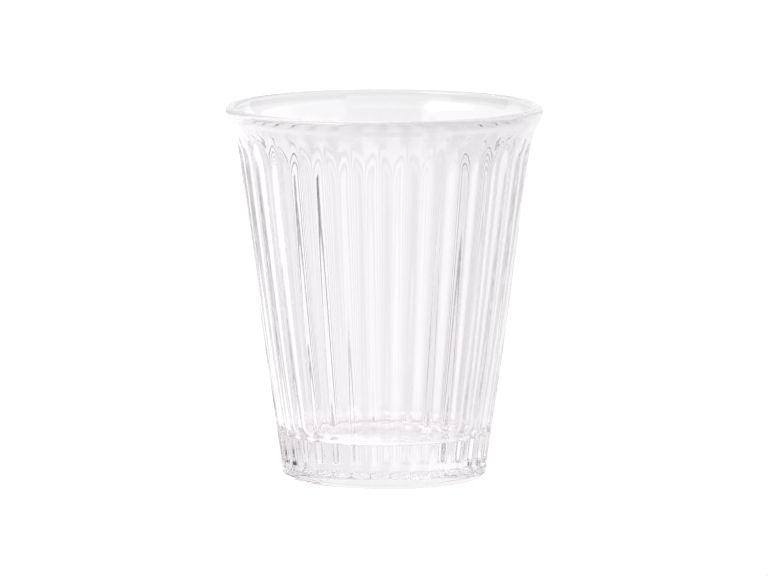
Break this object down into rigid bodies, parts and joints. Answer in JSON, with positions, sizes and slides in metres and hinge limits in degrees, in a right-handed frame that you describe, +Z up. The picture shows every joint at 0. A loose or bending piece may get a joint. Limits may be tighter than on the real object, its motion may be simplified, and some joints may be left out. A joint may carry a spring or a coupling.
{
  "type": "tea glass",
  "caption": "Clear pressed-glass tumbler for tea with fine upright ribs, arched rib tops, an out-turned rounded lip and a thick solid base.",
  "frame": {"origin": "centre of the foot's bearing plane, on the glass's axis", "axes": "+Z up along the axis of the glass, towards the mouth; -Y faces the camera of the picture"},
  "size_m": [0.075, 0.075, 0.088],
  "materials": {
    "glass": "gloss"
  },
  "bodies": {
    "root": {"tumbler": "glass"}
  },
  "joints": []
}
